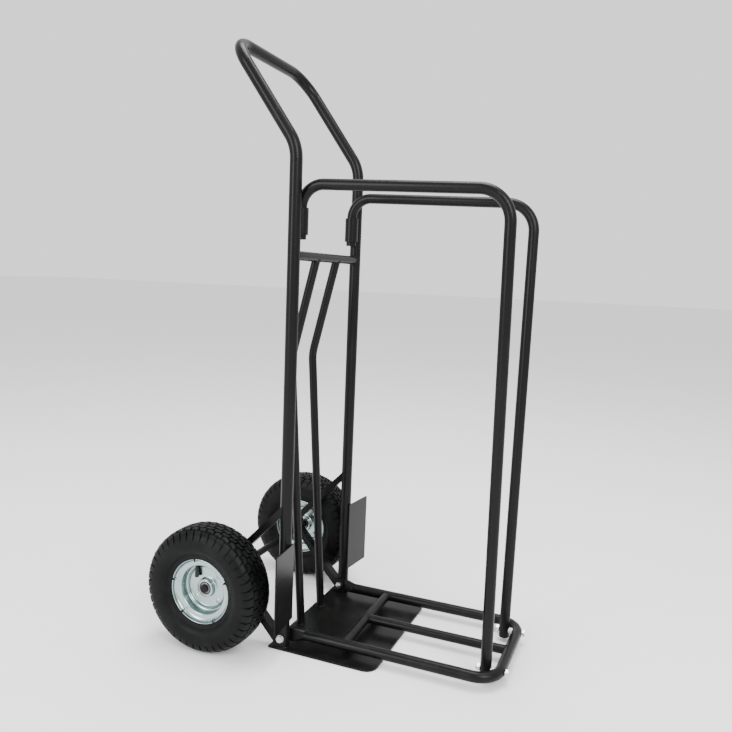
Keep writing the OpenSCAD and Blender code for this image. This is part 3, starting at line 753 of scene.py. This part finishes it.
def make_welds(material):
    rails = Shell()
    uprights = Shell()
    deck = Shell()
    sockets = Shell()
    carrier = Shell()
    up = Vector((0, 0, 1))
    for name, sign in SIDES.items():
        uprights.take(bead(tube_meeting((0, 0, BAR_Z), (sign, 0, 0), BAR_R,
                                        (sign * UPRIGHT_X, 0, 0), up, UPRIGHT_R),
                           1.9 * MM, True))
        uprights.take(bead(foot_circle((sign * UPRIGHT_X, 0, toe_top + 0.3 * MM),
                                       UPRIGHT_R + 0.5 * MM), 2.2 * MM, True))
        low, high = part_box("back_rail_" + name)
        rail_x, rail_r = (low[0] + high[0]) / 2, (high[0] - low[0]) / 2
        bow = high[1] - rail_r
        rise = (0, -bow, BAR_Z - RAIL_BEND_Z)
        rails.take(bead(tube_meeting((rail_x, bow, RAIL_BEND_Z), rise, rail_r,
                                     (0, 0, BAR_Z), (1, 0, 0), BAR_R), 1.8 * MM, True))
        rails.take(bead(foot_circle((rail_x, RAIL_FOOT_Y, toe_top + 0.3 * MM), rail_r + 0.4 * MM),
                        1.9 * MM, True))
        deck.take(bead(tube_meeting((0, CROSS_Y, DECK_Z), (sign, 0, 0), CROSS_R,
                                    (sign * DECK_X, 0, DECK_Z), (0, 1, 0), DECK_R),
                       1.8 * MM, True))
        socket_low, socket_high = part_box("hoop_socket_" + name)
        seam_x = sign * (UPRIGHT_X - UPRIGHT_R)
        for y in (-4.6 * MM, 4.6 * MM):
            for start, end in ((0.04, 0.40), (0.60, 0.96)):
                tall = socket_high[2] - socket_low[2]
                sockets.take(bead([(seam_x, y, socket_low[2] + start * tall),
                                   (seam_x, y, socket_low[2] + end * tall)], 2.1 * MM, False))
        guard_low, guard_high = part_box("wheel_guard_" + name)
        for start, end in ((0.05, 0.24), (0.42, 0.58), (0.76, 0.95)):
            tall = guard_high[2] - guard_low[2]
            for x in (-5.2 * MM, 5.2 * MM):
                y = -UPRIGHT_R - 0.4 * MM - sign * x * 0.1
                carrier.take(bead([(sign * UPRIGHT_X + x, y, guard_low[2] + start * tall),
                                   (sign * UPRIGHT_X + x, y, guard_low[2] + end * tall)],
                                  1.7 * MM, False))
        carrier.take(brace_welds(name, sign))
    for y, run, target in ((FRONT_Y, (0, -1, 0), DECK_R), (CROSS_Y, (0, 1, 0), CROSS_R)):
        middle = (0, (FRONT_Y + CROSS_Y) / 2, DECK_Z)
        deck.take(bead(tube_meeting(middle, run, MIDDLE_R, (0, y, DECK_Z), (1, 0, 0), target),
                       1.7 * MM, True))
    for name, shell in (("welds_uprights", uprights), ("welds_rails", rails),
                        ("welds_deck", deck), ("welds_sockets", sockets),
                        ("welds_carrier", carrier)):
        piece(name, shell.verts, shell.faces, material, "frame", crease=60)


def brace_welds(name, sign):
    """Beads where the braces meet the upright and the toe plate, and round the axle lug."""
    shell = Shell()
    low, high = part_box("axle_brace_" + name)
    half = (high[0] - low[0]) / 2
    lug_low, lug_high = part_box("axle_lug_" + name)
    for x in (-half, half):
        depth = (UPRIGHT_R ** 2 - half ** 2) ** 0.5
        top = high[2]
        shell.take(bead([(sign * UPRIGHT_X + x, depth + 0.3 * MM, top - 22 * MM),
                         (sign * UPRIGHT_X + x, depth + 0.3 * MM, top - 2 * MM)],
                        1.8 * MM, False))
        shell.take(bead([(sign * UPRIGHT_X + x, depth + 1 * MM, toe_top + 0.5 * MM),
                         (sign * UPRIGHT_X + x, depth + 14 * MM, toe_top + 0.5 * MM)],
                        2.0 * MM, False))
    face = lug_low[0] if sign < 0 else lug_high[0]
    shell.take(bead([(face, AXLE_Y + 9 * MM * math.cos(FULL_TURN * k / 24),
                      AXLE_Z + 9 * MM * math.sin(FULL_TURN * k / 24)) for k in range(24)],
                    1.5 * MM, True))
    return shell


# ---------------------------------------------------------------- scene

def plain_ground():
    mesh = bpy.data.meshes.new("studio_floor")
    reach = 30.0
    mesh.from_pydata([(-reach, -reach, -0.0005), (reach, -reach, -0.0005),
                      (reach, reach, -0.0005), (-reach, reach, -0.0005)], [], [(0, 1, 2, 3)])
    paint = Paint("floor_paint", {"Specular IOR Level": 0.1})
    colour = paint.mix(paint.noise(2.0), shade(0.86), shade(0.88))
    paint.surface(colour, 0.85 + paint.noise(5.0) * 0.05, paint.noise(40.0), 0.0001)
    mesh.materials.append(paint.material)
    floor = bpy.data.objects.new("studio_floor", mesh)
    bpy.context.scene.collection.objects.link(floor)


def soft_light(name, place, aim, size, power):
    light = bpy.data.lights.new(name, "AREA")
    light.shape = "RECTANGLE"
    light.size, light.size_y = size
    light.energy = power
    lamp = bpy.data.objects.new(name, light)
    bpy.context.scene.collection.objects.link(lamp)
    lamp.location = place
    lamp.rotation_euler = (Vector(aim) - Vector(place)).to_track_quat("-Z", "Y").to_euler()


def light_studio():
    world = bpy.data.worlds.new("studio")
    bpy.context.scene.world = world
    world.use_nodes = True
    world.node_tree.nodes["Background"].inputs["Color"].default_value = (1, 1, 1, 1)
    world.node_tree.nodes["Background"].inputs["Strength"].default_value = 1.35
    soft_light("key", (-2.2, -2.6, 2.6), (0, -0.1, 0.5), (1.5, 2.2), 130)
    soft_light("fill", (-3.2, 1.4, 1.6), (0, 0, 0.5), (1.3, 2.2), 90)
    soft_light("top", (0.3, -0.2, 3.4), (0, 0, 0.4), (1.6, 1.6), 110)


place_camera()

COAT = black_coat("black_powder_coat", 0.3)
TYRE = tyre_rubber()
RUBBER = plain_rubber()
RIM_ZINC = plated("rim_zinc", shade(0.32, (-0.055, 0.03, 0.02)), shade(0.50, (-0.06, 0.02, 0.01)),
                  0.17, 16.0)
BOLT_ZINC = plated("bolt_zinc", shade(0.55, (0.01, 0.0, -0.02)), shade(0.74), 0.26, 90.0)
STEEL = plated("bearing_steel", shade(0.38), shade(0.56), 0.28, 70.0)
DARK_STEEL = plated("spring_steel", shade(0.05), shade(0.12), 0.35, 90.0)
FINISHES = {"black_coat": COAT, "tyre": TYRE, "rubber_parts": RUBBER, "bearing_seals": RUBBER,
            "zinc_rim": RIM_ZINC, "zinc_bolts": BOLT_ZINC, "bearing_steel": STEEL,
            "spring_steel": DARK_STEEL}
slot_of = {part["node"]: part["material_slot"] for part in record["subparts"]}
for node_name, node_object in frame["nodes"].items():
    node_object.data.materials.clear()
    node_object.data.materials.append(FINISHES[slot_of[node_name]])

make_tyres(TYRE)
make_rims(RIM_ZINC)
make_valves(RUBBER)
make_fasteners(BOLT_ZINC)
make_welds(COAT)
plain_ground()
light_studio()
